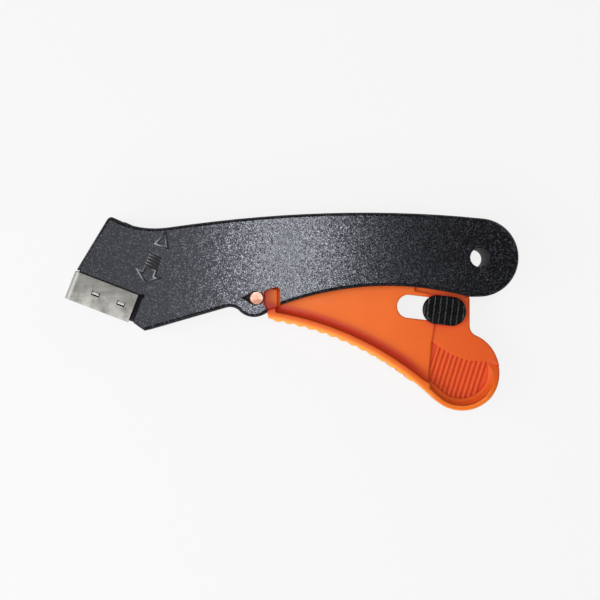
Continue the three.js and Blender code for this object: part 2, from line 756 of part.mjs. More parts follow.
// Corners of the thumb recess, the sagging edge between them and where it meets the tail's rim
const thumbLeftTopX = leverTail.x - thumbTopSetback;
const thumbLeftTopY = leverTail.y + thumbTopRise;
const thumbLeftFootX = leverTail.x - thumbFootSetback;
const thumbSagX = leverTail.x - thumbSagSetback;
const thumbSagY = leverTail.y + thumbSagRise;
const thumbEndTurn = thumbEndAngle * degree;
const thumbRadius = leverTailRadius - flangeDepth;
const thumbEnd = new THREE.Vector2(
  leverTail.x + thumbRadius * Math.cos(thumbEndTurn),
  leverTail.y + thumbRadius * Math.sin(thumbEndTurn),
);
const rimEnd = new THREE.Vector2(
  leverTail.x + beyond * Math.cos(thumbEndTurn),
  leverTail.y + beyond * Math.sin(thumbEndTurn),
);
const thumbFootTurn = Math.acos((thumbLeftFootX - leverArcX) / (leverArcRadius + flangeDepth));

// Everything beside the flange and above the thumb recess, which is cut back to the web
function webPocket() {
  const shape = new THREE.Shape();
  const neckTurn = Math.acos((neckRightX - leverArcX) / (leverArcRadius + flangeDepth));
  shape.moveTo(...besideGrip(neckTurn, flangeDepth));
  shape.absarc(leverArcX, leverArcY, leverArcRadius + flangeDepth, neckTurn, thumbFootTurn, true);
  shape.lineTo(thumbLeftTopX, thumbLeftTopY);
  shape.lineTo(thumbSagX, thumbSagY);
  shape.lineTo(thumbEnd.x, thumbEnd.y);
  shape.lineTo(rimEnd.x, rimEnd.y);
  shape.lineTo(leverTail.x + beyond, beyond);
  shape.lineTo(neckRightX - neckRound, beyond);
  shape.lineTo(neckRightX - neckRound, neckTopY);
  shape.quadraticCurveTo(neckRightX, neckTopY, neckRightX, neckTopY - neckRound);
  return shape;
}

// The neck beside the pivot, which lies deeper than the flange
function neckPocket() {
  return polygon([
    [slotLegLeftX, neckFootLeftY], [neckRightX, neckFootRightY],
    [neckRightX, beyond], [slotLegLeftX, beyond],
  ]);
}

// The lower level round the lock, from its step to the end of the lever
function slideZone() {
  const shape = new THREE.Shape();
  shape.moveTo(slideZoneLeftX, beyond);
  shape.lineTo(slideZoneLeftX, slideZoneLeftY);
  shape.lineTo(slideZoneStepX, slideZoneStepY);
  shape.lineTo(thumbLeftTopX, thumbLeftTopY);
  shape.lineTo(thumbSagX, thumbSagY);
  shape.lineTo(thumbEnd.x, thumbEnd.y);
  shape.lineTo(rimEnd.x, rimEnd.y);
  shape.lineTo(leverTail.x + beyond, beyond);
  return shape;
}

// Floor of the thumb recess
function thumbRecess() {
  const shape = new THREE.Shape();
  shape.moveTo(thumbLeftTopX, thumbLeftTopY);
  shape.lineTo(...besideGrip(thumbFootTurn, flangeDepth));
  shape.absarc(leverArcX, leverArcY, leverArcRadius + flangeDepth, thumbFootTurn, leverTailTurn, true);
  shape.absarc(leverTail.x, leverTail.y, thumbRadius, leverTailTurn - Math.PI, thumbEndTurn);
  shape.quadraticCurveTo(thumbSagX, thumbSagY, thumbLeftTopX, thumbLeftTopY);
  return shape;
}

// Everything on the rim's side of the thumb recess
function rimSide() {
  const foot = besideGrip(thumbFootTurn, flangeDepth);
  return polygon([
    [thumbLeftTopX, thumbLeftTopY], foot, [foot[0], -beyond],
    [leverTail.x + beyond, -beyond], [leverTail.x + beyond, thumbLeftTopY],
  ]);
}

// Slanted ribs standing on the floor of the thumb recess
function thumbRibs() {
  const middleX = (thumbLeftFootX + thumbEnd.x) / 2 + thumbRibShift;
  const middleY = leverTail.y;
  let ribs = null;
  for (let i = 0; i < thumbRibCount; i += 1) {
    const place = (i - (thumbRibCount - 1) / 2) * thumbRibPitch;
    const rib = new THREE.CylinderGeometry(thumbRibRadius, thumbRibRadius, beyond, thumbRibSides);
    rib.translate(place, 0, thumbFloor / 2).rotateZ(-thumbRibLean * degree);
    const leaned = solid(rib.translate(middleX, middleY, 0));
    ribs = ribs ? ribs.add(leaned) : leaned;
  }
  return ribs;
}

// Space over a rim that rises slowly from the level of the slide zone, below a line
function rimFall(x, y, turn) {
  const space = new THREE.BoxGeometry(beyond, beyond, beyond);
  space.translate(beyond / 2, -beyond / 2, beyond / 2);
  return space.rotateX(-rimSlope * degree).rotateZ(turn).translate(x, y, slideZoneWeb / 2);
}

// The squeeze lever with its front arm
function squeezeLever() {
  let lever = solid(prism(leverShape(), -leverHalf, leverHalf))
    .add(solid(disc(0, 0, hubRadius, -leverHalf, leverHalf)));
  const ribs = geometryOf(thumbRibs());

  // Rim of the tail falls away towards the slide zone
  const sag = Math.atan2(thumbEnd.y - thumbLeftTopY, thumbEnd.x - thumbLeftTopX);
  const topFall = rimFall(thumbLeftTopX, thumbLeftTopY, sag);
  const endFall = rimFall(thumbEnd.x, thumbEnd.y, thumbEndTurn);

  for (const side of [1, -1]) {
    const web = covedCutter(webPocket(), webHalf, leverHalf, flangeCove);
    const neck = prism(neckPocket(), neckWeb / 2, bodyWidth);
    const zone = prism(slideZone(), slideZoneWeb / 2, bodyWidth);
    const cove = covedCutter(thumbRecess(), slideZoneWeb / 2 + fitGap, leverHalf, thumbCove);
    const rim = solid(cove, side).intersect(solid(prism(rimSide(), 0, bodyWidth), side));
    const thumb = prism(thumbRecess(), thumbFloor / 2, bodyWidth);
    const thumbCut = solid(thumb, side).subtract(solid(ribs, side)).add(rim);
    lever = lever.subtract(solid(web, side)).subtract(solid(neck, side));
    lever = lever.subtract(solid(zone, side)).subtract(thumbCut);
    lever = lever.subtract(solid(topFall, side)).subtract(solid(endFall, side));
  }

  // Arm to the blade carrier and pad with post for the spring
  const arm = rectangle(0, armHeight - armHalfHeight, armLength, armHeight + armHalfHeight);
  const armEnd = disc(0, armHeight, armHalfHeight, -armHalf, armHalf);
  const padHalf = springMeanRadius + springWire;
  const pad = rectangle(-springPadLength / 2, -springPadHeight, springPadLength / 2, 0);
  lever = lever
    .add(solid(placeOnSlide(prism(arm, -armHalf, armHalf))))
    .add(solid(placeOnSlide(armEnd)))
    .add(solid(placeOnSpring(prism(pad, -padHalf, padHalf))))
    .add(solid(springPost(-fitGap, springPostHeight + fitGap)));

  // Bores for both pins and the slot of the lock
  const drive = slidePoint(0, armHeight);
  const slot = prism(obround(slotLength / 2, slotRadius), -bodyWidth, bodyWidth);
  slot.translate(slotLength / 2, 0, 0).rotateZ(-slotTilt * degree).translate(slotX, slotY, 0);
  return lever
    .subtract(solid(disc(0, 0, pivotPinRadius + fitGap, -bodyWidth, bodyWidth)))
    .subtract(solid(disc(drive.x, drive.y, drivePinRadius + fitGap, -bodyWidth, bodyWidth)))
    .subtract(solid(slot));
}

// Ribbed oval cap of the lock, drawn about its own middle; the one on the far side is shorter
function lockCap(side, halfLength) {
  const seat = webHalf + runningGap;
  const oval = obround(halfLength - lockCapHalfHeight, lockCapHalfHeight);
  const geometry = new THREE.ExtrudeGeometry(stepped(oval, arcSteps), {
    depth: lockCapThickness - 2 * lockCapRound,
    bevelThickness: lockCapRound,
    bevelSize: lockCapRound,
    bevelOffset: -lockCapRound,
    bevelSegments: 3,
  }).translate(0, 0, seat + lockCapRound);
  let cap = solid(geometry, side);
  const top = seat + lockCapThickness;
  for (let i = 0; i < lockRibCount; i += 1) {
    const x = (i - (lockRibCount - 1) / 2) * lockRibPitch;
    const groove = rectangle(x - lockRibGroove / 2, -beyond, x + lockRibGroove / 2, beyond);
    cap = cap.subtract(solid(prism(groove, top - lockRibDepth, bodyWidth), side));
  }
  return cap;
}

// Near half of the lock: cap, shank through the lever's slot and a stem for the other cap
function lockButton() {
  const seat = webHalf + runningGap;
  const shank = prism(obround(lockShankHalf, slotRadius - runningGap), -webHalf, seat + lockCapRound);
  const stem = disc(0, 0, lockStemRadius, -seat - lockStemLength, 0, 16);
  return lockCap(1, lockCapHalfLength).add(solid(shank)).add(solid(stem));
}

// Far half of the lock, pushed on the stem
function lockButtonCap() {
  const seat = webHalf + runningGap;
  const bore = disc(0, 0, lockStemRadius + fitGap, 0, seat + lockStemLength + fitGap, 16);
  return lockCap(-1, lockBackHalfLength).subtract(solid(bore, -1));
}

// Coil of the return spring, with closer turns at both ends
class SpringCurve extends THREE.Curve {
  getPoint(t, target = new THREE.Vector3()) {
    const turn = t * springTurns;
    const angle = 2 * Math.PI * turn;
    const reach = springLength - springWire;
    const openPitch = (reach - 2 * springEndPitch) / (springTurns - 2);
    const opened = THREE.MathUtils.clamp(turn - 1, 0, springTurns - 2);
    const height = opened * openPitch + (turn - opened) * springEndPitch;
    return target.set(
      springMeanRadius * Math.cos(angle),
      fitGap + springWire / 2 + height,
      springMeanRadius * Math.sin(angle),
    );
  }
}

function returnSpring() {
  const section = new THREE.Shape();
  section.absarc(0, 0, springWire / 2, 0, 2 * Math.PI);
  const geometry = new THREE.ExtrudeGeometry(stepped(section, springSides / 2), {
    steps: springTurns * springStepsPerTurn,
    extrudePath: new SpringCurve(),
  });
  return solid(placeOnSpring(geometry));
}

// Least gap between turns of the spring, on points of its middle line
function springGap() {
  const curve = new SpringCurve();
  const perTurn = 48;
  const points = curve.getPoints(springTurns * perTurn);
  let least = Infinity;
  for (let i = 0; i < points.length; i += 1) {
    for (let j = i + perTurn / 2; j < points.length; j += 1) {
      least = Math.min(least, points[i].distanceTo(points[j]) - springWire);
    }
  }
  return least;
}

console.log(`least gap between turns of the spring: ${springGap().toFixed(2)} mm`);

// Materials
function finish(color, roughness, metalness) {
  return () => new THREE.MeshStandardMaterial({ color, roughness, metalness });
}

const blackPlastic = finish(0x2b2c30, 0.55, 0);
const orangePlastic = finish(0xef7030, 0.45, 0);
const glossyBlack = finish(0x121213, 0.35, 0);
const greyPlastic = finish(0x55585c, 0.5, 0);
const brightSteel = finish(0xb9b4aa, 0.35, 1);
const bladeSteel = finish(0xc9cccf, 0.25, 1);
const springSteel = finish(0x8d9094, 0.35, 1);
const copperPlate = finish(0xe3a58c, 0.4, 1);
const blackScrew = finish(0x303236, 0.4, 1);

function piece(name, shape, material) {
  const mesh = new THREE.Mesh(geometryOf(shape), material());
  mesh.name = name;
  return mesh;
}

// Assembly about the pivot
const assembly = new THREE.Group();
assembly.add(piece('left_body_shell', nearShell(), blackPlastic));
assembly.add(piece('right_body_shell', farShell(), blackPlastic));
assembly.add(piece('squeeze_lever', squeezeLever(), orangePlastic));
assembly.add(piece('lever_pivot_pin', pin(pivotPinRadius, outerHalf - pivotPinRecess), copperPlate));
assembly.add(piece('lever_return_spring', returnSpring(), springSteel));

const drivePin = piece('carrier_drive_pin', pin(drivePinRadius, yokeOuterHalf), brightSteel);
drivePin.position.set(...slidePoint(0, armHeight), 0);
assembly.add(drivePin);

for (const [name, place] of screwPlaces) {
  const screw = piece(name, shellScrew(), blackScrew);
  screw.position.set(place.x, place.y, 0);
  assembly.add(screw);
}

// Pieces of the nose, along the blade slide
const slide = new THREE.Group();
slide.position.set(...slidePoint(0, 0), 0);
slide.rotation.z = -slideAngle * degree;
slide.add(piece('nose_guard', noseGuard(), brightSteel));
slide.add(piece('blade_carrier', bladeCarrier(), greyPlastic));
slide.add(piece('cutting_blade', cuttingBlade(), bladeSteel));
slide.add(piece('blade_clamp', bladeClamp(), greyPlastic));
slide.add(piece('blade_clamp_screw', clampScrew(), blackScrew));
assembly.add(slide);

// The lock rests at the tail end of its slot
const lock = new THREE.Group();
lock.rotation.z = -slotTilt * degree;
const lockRest = slotLength - lockShankHalf - runningGap;
lock.position.set(
  slotX + lockRest * Math.cos(slotTilt * degree),
  slotY - lockRest * Math.sin(slotTilt * degree),
  0,
);
lock.add(piece('lock_button', lockButton(), glossyBlack));
lock.add(piece('lock_button_cap', lockButtonCap(), glossyBlack));
assembly.add(lock);

// The whole knife stands with the middle of its box over the origin, lying on its far side
const box = new THREE.Box3().setFromObject(assembly);
const middle = box.getCenter(new THREE.Vector3());
assembly.position.set(-middle.x, -middle.y, -box.min.z);
const part = new THREE.Group();
part.add(assembly);

export default part;
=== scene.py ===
import json
import math

import bmesh
import bpy
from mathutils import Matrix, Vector


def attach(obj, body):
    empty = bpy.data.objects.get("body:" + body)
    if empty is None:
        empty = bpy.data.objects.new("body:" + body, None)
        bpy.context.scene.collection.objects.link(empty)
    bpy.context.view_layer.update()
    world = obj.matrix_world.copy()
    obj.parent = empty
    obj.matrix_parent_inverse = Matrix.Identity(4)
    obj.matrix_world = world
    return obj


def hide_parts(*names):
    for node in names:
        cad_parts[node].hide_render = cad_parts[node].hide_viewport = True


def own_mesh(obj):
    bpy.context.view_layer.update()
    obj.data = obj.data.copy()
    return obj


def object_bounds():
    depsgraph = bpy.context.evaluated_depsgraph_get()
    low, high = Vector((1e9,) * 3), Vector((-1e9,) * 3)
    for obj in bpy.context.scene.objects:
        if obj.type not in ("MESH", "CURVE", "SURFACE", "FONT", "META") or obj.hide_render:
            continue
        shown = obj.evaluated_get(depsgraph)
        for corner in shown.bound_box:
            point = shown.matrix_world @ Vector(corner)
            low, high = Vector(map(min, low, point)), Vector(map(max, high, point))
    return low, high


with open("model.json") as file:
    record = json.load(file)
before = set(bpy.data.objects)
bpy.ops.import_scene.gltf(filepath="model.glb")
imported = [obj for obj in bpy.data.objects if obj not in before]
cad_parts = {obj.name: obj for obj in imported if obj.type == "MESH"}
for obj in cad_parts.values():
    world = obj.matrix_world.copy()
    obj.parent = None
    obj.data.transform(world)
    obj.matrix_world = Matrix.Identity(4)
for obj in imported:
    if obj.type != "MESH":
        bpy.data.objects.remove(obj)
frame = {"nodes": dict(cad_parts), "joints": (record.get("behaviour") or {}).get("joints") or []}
cad_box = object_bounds()
nodes = frame["nodes"]
joints = {joint["name"]: joint for joint in frame["joints"]}

MM = 0.001
UP = Vector((0, 0, 1))
LOW = cad_box[0].z
TOP = cad_box[1].z
MID = (LOW + TOP) / 2

# The lever's pivot, and the foot and directions of the blade's slide in the nose
PIVOT = Vector(joints["lever_squeeze"]["pos_m"])
SLIDE_UP = -Vector(joints["blade_slide"]["axis"]).normalized()
SLIDE_ACROSS = SLIDE_UP.cross(UP)
SLIDE_FOOT = PIVOT - SLIDE_ACROSS * 53.9 * MM - SLIDE_UP * 25.8 * MM
SLIDE_LEAN = math.radians(21)

# The arc that the lever's gripped edge follows: its middle, and where its painted shade and
# highlight tones end along x
GRIP_MIDDLE = PIVOT + Vector((-12.69, -121.9, 0)) * MM
GRIP_LIMIT = ((-1, 0, 0), -PIVOT.x - 0.068, -PIVOT.x - 0.058)


# Node helpers: a value is an output socket, or a plain number, colour or vector

def new_material(name):
    material = bpy.data.materials.new(name)
    material.use_nodes = True
    tree = material.node_tree
    return material, tree, tree.nodes["Principled BSDF"]


def connect(tree, value, socket):
    if hasattr(value, "links"):
        tree.links.new(value, socket)
    else:
        socket.default_value = value


def add(tree, kind, settings=None, **values):
    made = tree.nodes.new(kind)
    for key, value in (settings or {}).items():
        setattr(made, key, value)
    for key, value in values.items():
        connect(tree, value, made.inputs[key.replace("_", " ")])
    return made


def calculate(tree, operation, *values):
    made = add(tree, "ShaderNodeMath", {"operation": operation})
    for value, socket in zip(values, made.inputs):
        connect(tree, value, socket)
    return made.outputs["Value"]


def calculate_vector(tree, operation, *values, output="Vector"):
    made = add(tree, "ShaderNodeVectorMath", {"operation": operation})
    for value, socket in zip(values, made.inputs):
        connect(tree, value, socket)
    return made.outputs[output]


def times(tree, *shares):
    product = shares[0]
    for share in shares[1:]:
        product = calculate(tree, "MULTIPLY", product, share)
    return product


def mix(tree, share, one, two):
    made = add(tree, "ShaderNodeMix", {"data_type": "RGBA", "blend_type": "MIX"})
    factor, first, second = made.inputs[0], made.inputs[6], made.inputs[7]
    connect(tree, share, factor)
    for color, socket in ((one, first), (two, second)):
        connect(tree, color if hasattr(color, "links") else (*color, 1), socket)
    return made.outputs[2]


def ramp(tree, value, low, high, stops=(0.35, 0.65)):
    made = add(tree, "ShaderNodeValToRGB", Fac=value)
    for element, place, color in zip(made.color_ramp.elements, stops, (low, high)):
        element.position = place
        element.color = (*color, 1)
    return made.outputs["Color"]


def spread(tree, value, low, high, stops=(0.3, 0.7)):
    made = add(
        tree, "ShaderNodeMapRange", Value=value,
        From_Min=stops[0], From_Max=stops[1], To_Min=low, To_Max=high,
    )
    return made.outputs["Result"]


# Patterns

def object_place(tree):
    return add(tree, "ShaderNodeTexCoord").outputs["Object"]


def noise(tree, place, scale, detail, roughness=0.55, stretch=None, turn=0.0):
    if stretch:
        mapping = add(tree, "ShaderNodeMapping", Vector=place, Scale=stretch, Rotation=(0, 0, turn))
        place = mapping.outputs["Vector"]
    made = add(
        tree, "ShaderNodeTexNoise",
        Vector=place, Scale=scale, Detail=detail, Roughness=roughness,
    )
    return made.outputs["Fac"]


def cell_colors(tree, place, scale):
    made = add(tree, "ShaderNodeTexVoronoi", {"feature": "F1"}, Vector=place, Scale=scale)
    return made.outputs["Color"]


# Shares from 0 to 1 that follow the place and slope of a surface

def geometry(tree, output):
    return add(tree, "ShaderNodeNewGeometry").outputs[output]


def folded(tree, place):
    """The place with its depth measured from the middle plane, the same on both sides."""
    parts = add(tree, "ShaderNodeSeparateXYZ", Vector=place).outputs
    depth = calculate(tree, "ABSOLUTE", calculate(tree, "SUBTRACT", parts["Z"], MID))
    joined = add(tree, "ShaderNodeCombineXYZ", X=parts["X"], Y=parts["Y"], Z=depth)
    return joined.outputs["Vector"]


def along(tree, place, direction, start, end):
    distance = calculate_vector(tree, "DOT_PRODUCT", place, direction, output="Value")
    return spread(tree, distance, 0.0, 1.0, (start, end))


def around(tree, place, middle, bands):
    shift = calculate_vector(tree, "SUBTRACT", place, middle)
    level = calculate_vector(tree, "MULTIPLY", shift, (1, 1, 0))
    radius = calculate_vector(tree, "LENGTH", level, output="Value")
    shares = [spread(tree, radius, low, high, stops) for low, high, stops in bands]
    return times(tree, *shares)


def openness(tree, distance, stops):
    near = add(tree, "ShaderNodeAmbientOcclusion", {"samples": 8}, Distance=distance)
    return spread(tree, near.outputs["AO"], 0.0, 1.0, stops)


def flatness(tree, least, stops):
    parts = add(tree, "ShaderNodeSeparateXYZ", Vector=geometry(tree, "True Normal")).outputs
    return spread(tree, calculate(tree, "ABSOLUTE", parts["Z"]), least, 1.0, stops)


def facing(tree, direction, stops):
    turned = calculate_vector(
        tree, "DOT_PRODUCT", geometry(tree, "Normal"), direction, output="Value"
    )
    return spread(tree, turned, 0.0, 1.0, stops)


def levelness(tree, stops):
    turned = calculate_vector(tree, "DOT_PRODUCT", geometry(tree, "Normal"), UP, output="Value")
    return spread(tree, calculate(tree, "ABSOLUTE", turned), 0.0, 1.0, stops)


def edge_share(tree, round_normal, stops):
    true_normal = geometry(tree, "True Normal")
    turned = calculate_vector(tree, "DOT_PRODUCT", round_normal, true_normal, output="Value")
    return spread(tree, turned, 1.0, 0.0, stops)


# Layers of a material

def faded(tree, place, color, tone, direction, start, end):
    return mix(tree, along(tree, folded(tree, place), direction, start, end), color, tone)


def paint_edge_highlight(tree, place, color, round_normal, tone, depth, breaks):
    """Painted highlight: level edges take the tone at the given depth from the middle, in broken
    lines.
    """
    stops = (0.8, 0.97)
    patches = noise(tree, place, scale=700, detail=2, roughness=0.5)
    share = times(
        tree,
        edge_share(tree, round_normal, stops),
        levelness(tree, stops),
        along(tree, folded(tree, place), UP, *depth),
        spread(tree, patches, *breaks),
    )
    return mix(tree, share, color, tone)


def rimmed(tree, place, color, tone, level, bands):
    """Bands of radius round the middle of the grip's arc take the tone, as painted shade and painted
    highlight.
    """
    share = times(
        tree,
        along(tree, place, *GRIP_LIMIT),
        around(tree, place, GRIP_MIDDLE, bands),
        levelness(tree, level),
    )
    return mix(tree, share, color, tone)


def paint_recess_shade(tree, color, tone):
    """Painted shade: corners and recess walls take the tone, walls in the open keep their colour."""
    bare = calculate(
        tree, "MAXIMUM",
        flatness(tree, least=0.45, stops=(0.4, 0.92)),
        openness(tree, distance=0.006, stops=(0.84, 0.97)),
    )
    share = times(tree, openness(tree, distance=0.004, stops=(0.4, 0.9)), bare)
    return mix(tree, share, tone, color)


def tilted(tree, color, amount):
    """The surface normal, tipped a little by each cell's own colour."""
    shift = calculate_vector(tree, "SUBTRACT", color, (0.5, 0.5, 0.5))
    lean = calculate_vector(tree, "MULTIPLY_ADD", shift, (amount,) * 3, geometry(tree, "Normal"))
    return calculate_vector(tree, "NORMALIZE", lean)


def bump(tree, height, strength, distance, normal=None):
    made = add(tree, "ShaderNodeBump", Height=height, Strength=strength, Distance=distance)
    if normal:
        connect(tree, normal, made.inputs["Normal"])
    return made.outputs["Normal"]


# Materials

def grained_plastic(
    name, dark, light, speck_tone, rough, cell_tilt, shine, shine_tone, painted_wall_shade, wall_rough
):
    """Specks, gloss and slope that change from cell to cell; plain dark walls and darkened crevices,
    as painted shade.
    """
    material, tree, shader = new_material(name)
    place = object_place(tree)
    cloud = noise(tree, place, scale=60, detail=3)
    fine = noise(tree, place, scale=3000, detail=1.5, roughness=0.6)
    cells = cell_colors(tree, place, scale=2700)
    chance = add(tree, "ShaderNodeSeparateColor", Color=cells).outputs
    open_face = times(
        tree,
        openness(tree, distance=0.004, stops=(0.5, 0.95)),
        flatness(tree, least=0.2, stops=(0.3, 0.8)),
    )
    speck = ramp(tree, chance["Red"], (0, 0, 0), (1, 1, 1), stops=(0.76, 1))
    color = mix(tree, speck, ramp(tree, cloud, dark, light), speck_tone)
    gloss = times(
        tree,
        spread(tree, chance["Green"], *rough, stops=(0.2, 0.8)),
        spread(tree, fine, 1.25, 0.75),
    )
    normal = tilted(tree, cells, cell_tilt)
    normal = bump(tree, fine, strength=0.2, distance=0.00003, normal=normal)
    # Painted shade: crevices and walls take the dark wall tone
    connect(tree, mix(tree, open_face, painted_wall_shade, color), shader.inputs["Base Color"])
    connect(tree, mix(tree, open_face, (wall_rough,) * 3, gloss), shader.inputs["Roughness"])
    shader.inputs["Specular IOR Level"].default_value = shine
    shader.inputs["Specular Tint"].default_value = (*shine_tone, 1)
    connect(tree, normal, shader.inputs["Normal"])
    return material


def moulded_plastic(
    name, dark, light, rough=(0.3, 0.42), shine=0.5,
    fade=None, painted_highlight=None, edge=None, edge_radius=None, rims=(), painted_shade_tone=None,
):
    """Smooth plastic, with painted shade and painted highlights where they are asked for."""
    material, tree, shader = new_material(name)
    place = object_place(tree)
    cloud = noise(tree, place, scale=45, detail=3)
    flow = noise(
        tree, place, scale=240, detail=2, roughness=0.5, stretch=(0.25, 1, 1), turn=0.4
    )
    fine = noise(tree, place, scale=1900, detail=2, roughness=0.6)
    color = ramp(tree, cloud, dark, light)
    normal = None
    if fade:
        color = faded(tree, place, color, **fade)
    if painted_highlight:
        color = mix(tree, facing(tree, painted_highlight["direction"], painted_highlight["stops"]), color, painted_highlight["tone"])
    if edge:
        bevel = add(tree, "ShaderNodeBevel", {"samples": 6}, Radius=edge_radius)
        normal = bevel.outputs["Normal"]
        color = paint_edge_highlight(tree, place, color, normal, **edge)
    for rim in rims:
        color = rimmed(tree, place, color, **rim)
    if painted_shade_tone:
        color = paint_recess_shade(tree, color, painted_shade_tone)
    normal = bump(tree, flow, strength=0.06, distance=0.0002, normal=normal)
    normal = bump(tree, fine, strength=0.08, distance=0.00004, normal=normal)
    connect(tree, color, shader.inputs["Base Color"])
    connect(tree, spread(tree, flow, *rough), shader.inputs["Roughness"])
    shader.inputs["Specular IOR Level"].default_value = shine
    connect(tree, normal, shader.inputs["Normal"])
    return material


def plated_steel(name, dark, light, rough=(0.26, 0.4), lean=0.0, scratch=0.12, fades=()):
    """Stained steel with drawn lines, which lean by an angle, and fine pits, with fades of tone that
    carry painted highlights and painted shadow.
    """
    material, tree, shader = new_material(name)
    place = object_place(tree)
    stain = noise(tree, place, scale=190, detail=4, roughness=0.6)
    drawn = noise(
        tree, place, scale=900, detail=3, roughness=0.6, stretch=(0.06, 1, 1), turn=lean
    )
    pits = noise(tree, place, scale=1500, detail=2, roughness=0.6)
    color = ramp(tree, stain, dark, light)
    for fade in fades:
        color = faded(tree, place, color, **fade)
    normal = bump(tree, drawn, strength=scratch, distance=0.00006)
    normal = bump(tree, pits, strength=0.05, distance=0.00004, normal=normal)
    connect(tree, color, shader.inputs["Base Color"])
    connect(tree, spread(tree, drawn, *rough), shader.inputs["Roughness"])
    shader.inputs["Metallic"].default_value = 1.0
    connect(tree, normal, shader.inputs["Normal"])
    return material


body_plastic = grained_plastic(
    "body_plastic", (0.0012, 0.0012, 0.0015), (0.0022, 0.0022, 0.0027),
    speck_tone=(0.058, 0.061, 0.071),
    rough=(0.14, 0.23),
    cell_tilt=0.085,
    shine=0.43,
    shine_tone=(0.86, 0.885, 1),
    # Painted shade on the walls and in the crevices
    painted_wall_shade=(0.0008, 0.0008, 0.0009),
    wall_rough=0.75,
)

lever_plastic = moulded_plastic(
    "lever_plastic", (0.79, 0.142, 0.012), (0.86, 0.166, 0.018),
    rough=(0.3, 0.4),
    shine=0.12,
    # Painted shade: darker towards the tail and in the deeper levels
    fade=dict(
        tone=(0.7, 0.098, 0.016), direction=(1, 0, -25),
        start=PIVOT.x - 0.0535, end=PIVOT.x + 0.0225,
    ),
    # Painted highlight: pale yellow on the level edges
    edge=dict(tone=(1.0, 0.46, 0.1), depth=(0.0052, 0.0056), breaks=(0.85, 1.0)),
    edge_radius=0.0012,
    rims=(
        # Painted shade: red line on the inside of the grip's flange
        dict(
            tone=(0.64, 0.046, 0.014), level=(0.02, 0.3),
            bands=((0, 1, (0.1164, 0.1194)), (1, 0, (0.1202, 0.1222))),
        ),
        # Painted highlight: yellow edge on its outside
        dict(
            tone=(1.0, 0.42, 0.08), level=(0.3, 0.8),
            bands=((1, 0, (0.1153, 0.1169)),),
        ),
    ),
    # Painted shade: a deeper red in corners and recesses
    painted_shade_tone=(0.72, 0.046, 0.022),
)

lock_plastic = moulded_plastic(
    "lock_plastic", (0.0012, 0.0012, 0.0014), (0.003, 0.003, 0.0034),
    rough=(0.1, 0.17),
    shine=0.28,
    # Painted glints: pale broken lines on the ribs' edges
    edge=dict(tone=(0.12, 0.12, 0.126), depth=(0, 0.001), breaks=(0.0, 1.0, (0.46, 0.6))),
    edge_radius=0.0003,
)

sign_plastic = moulded_plastic(
    "sign_plastic", (0.001, 0.001, 0.0012), (0.002, 0.002, 0.0023),
    rough=(0.3, 0.4),
    shine=0.3,
    # Painted highlight: pale tone on the ridges' slopes that face the left
    painted_highlight=dict(tone=(0.36, 0.36, 0.385), direction=(-0.7, 0.12, 0.7), stops=(0.68, 0.94)),
)

inner_plastic = moulded_plastic("inner_plastic", (0.1, 0.104, 0.11), (0.14, 0.145, 0.15))

guard_foot = SLIDE_FOOT.dot(SLIDE_UP)
guard_front = -SLIDE_FOOT.dot(SLIDE_ACROSS)
guard_steel = plated_steel(
    "guard_steel", (0.17, 0.165, 0.152), (0.39, 0.383, 0.357),
    rough=(0.46, 0.6),
    lean=SLIDE_LEAN,
    fades=(
        # Darker top
        dict(
            tone=(0.14, 0.137, 0.126), direction=SLIDE_UP,
            start=guard_foot, end=guard_foot + 0.013,
        ),
        # Painted highlight: pale bend at the front
        dict(
            tone=(0.42, 0.416, 0.398), direction=-SLIDE_ACROSS,
            start=guard_front + 0.0113, end=guard_front + 0.0121,
        ),
        # Painted highlight: pale lips of the tabs
        dict(tone=(0.62, 0.615, 0.59), direction=UP, start=0.00736, end=0.00756),
        # Painted shadow: dark line where the guard goes under the shells
        dict(
            tone=(0.012, 0.012, 0.013), direction=SLIDE_UP,
            start=guard_foot + 0.01082, end=guard_foot + 0.01096,
        ),
    ),
)

pinned_steel = plated_steel(
    "pinned_steel", (0.34, 0.335, 0.32), (0.46, 0.45, 0.43), rough=(0.3, 0.42)
)
blade_steel = plated_steel(
    "blade_steel", (0.55, 0.56, 0.58), (0.66, 0.67, 0.69), rough=(0.18, 0.34), lean=1.2
)
spring_steel = plated_steel(
    "spring_steel", (0.3, 0.305, 0.32), (0.42, 0.425, 0.44), rough=(0.22, 0.36)
)
pin_plating = plated_steel(
    "pin_plating", (0.42, 0.2, 0.14), (0.8, 0.52, 0.42), rough=(0.44, 0.6), lean=0.6, scratch=0.6
)
screw_steel = plated_steel(
    "screw_steel", (0.035, 0.036, 0.04), (0.06, 0.062, 0.068), rough=(0.3, 0.5)
)


# Soft edges on the solids of the frame: each node's material, and its edge width in millimetres

FINISH = {
    "left_body_shell": (body_plastic, 0.16),
    "right_body_shell": (body_plastic, 0.16),
    "squeeze_lever": (lever_plastic, 0.22),
    "lock_button": (lock_plastic, 0.1),
    "lock_button_cap": (lock_plastic, 0.1),
    "nose_guard": (guard_steel, 0.1),
    "lever_pivot_pin": (pin_plating, 0.1),
    "carrier_drive_pin": (pinned_steel, 0.08),
    "cutting_blade": (blade_steel, 0.02),
    "blade_carrier": (inner_plastic, 0.12),
    "blade_clamp": (inner_plastic, 0.12),
    "blade_clamp_screw": (screw_steel, 0.06),
    "nose_screw": (screw_steel, 0.06),
    "arm_screw": (screw_steel, 0.06),
    "middle_screw": (screw_steel, 0.06),
    "tail_screw": (screw_steel, 0.06),
}
FLAT_ANGLE = math.radians(0.8)
EDGE_ANGLE = math.radians(38)


